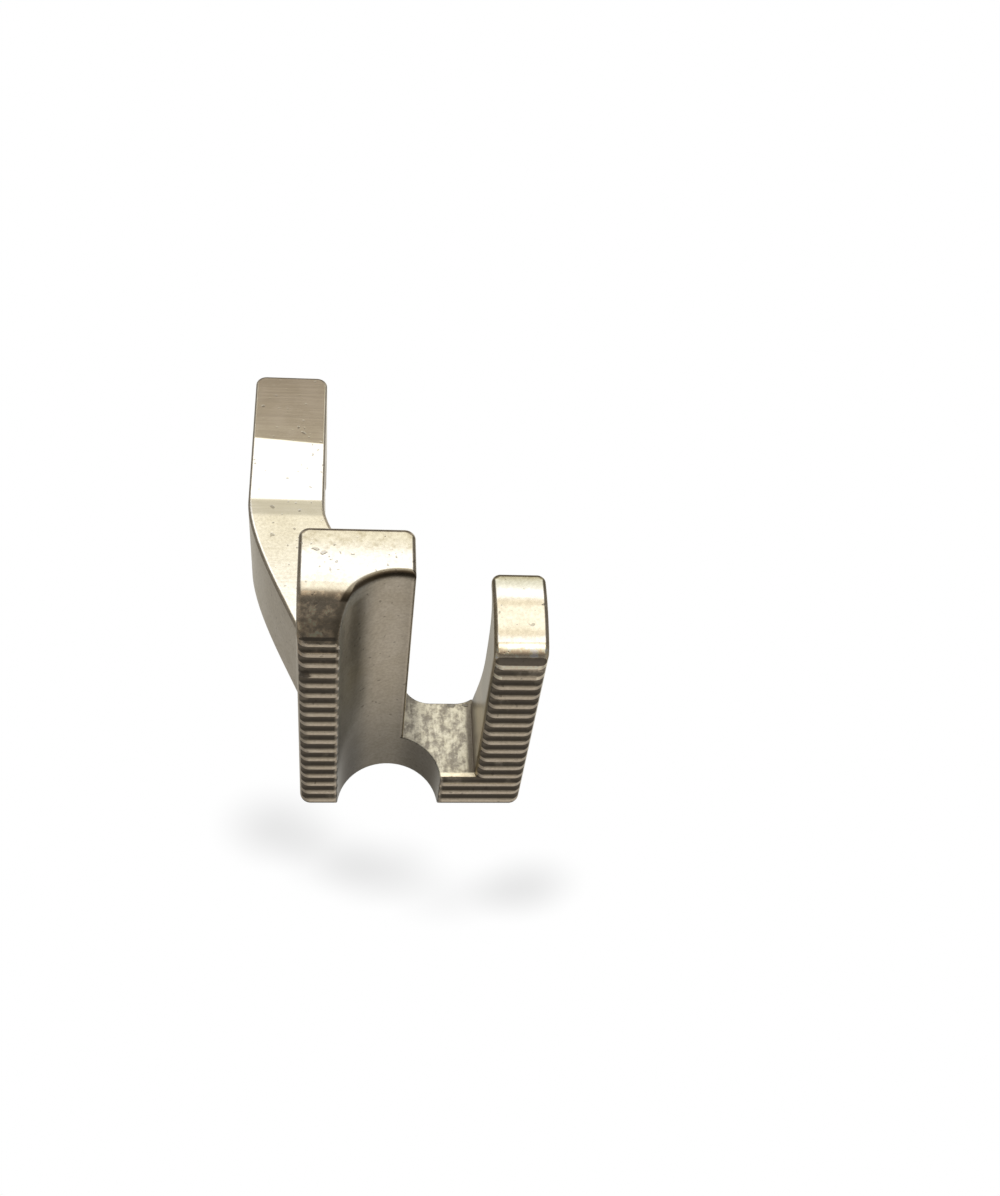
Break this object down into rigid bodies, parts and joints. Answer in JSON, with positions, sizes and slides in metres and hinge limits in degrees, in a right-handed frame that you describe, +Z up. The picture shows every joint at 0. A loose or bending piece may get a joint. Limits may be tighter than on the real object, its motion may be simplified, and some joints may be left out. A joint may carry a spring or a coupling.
{
  "type": "sewing machine presser foot",
  "caption": "Toothed outer foot for a walking foot sewing machine, with a half-round piping tunnel, a slot for the inner foot and a cranked shank.",
  "frame": {"origin": "middle of the foot's box, on the lands of the sole", "axes": "+Z up along the shank, -Y towards the toes, +X across the toes to the side away from the shank"},
  "size_m": [0.0266, 0.03, 0.0454],
  "materials": {
    "plated_steel": "nickel plated casting, brushed faces, rough in the slot"
  },
  "bodies": {
    "root": {"presser_foot": "plated_steel"}
  },
  "joints": []
}
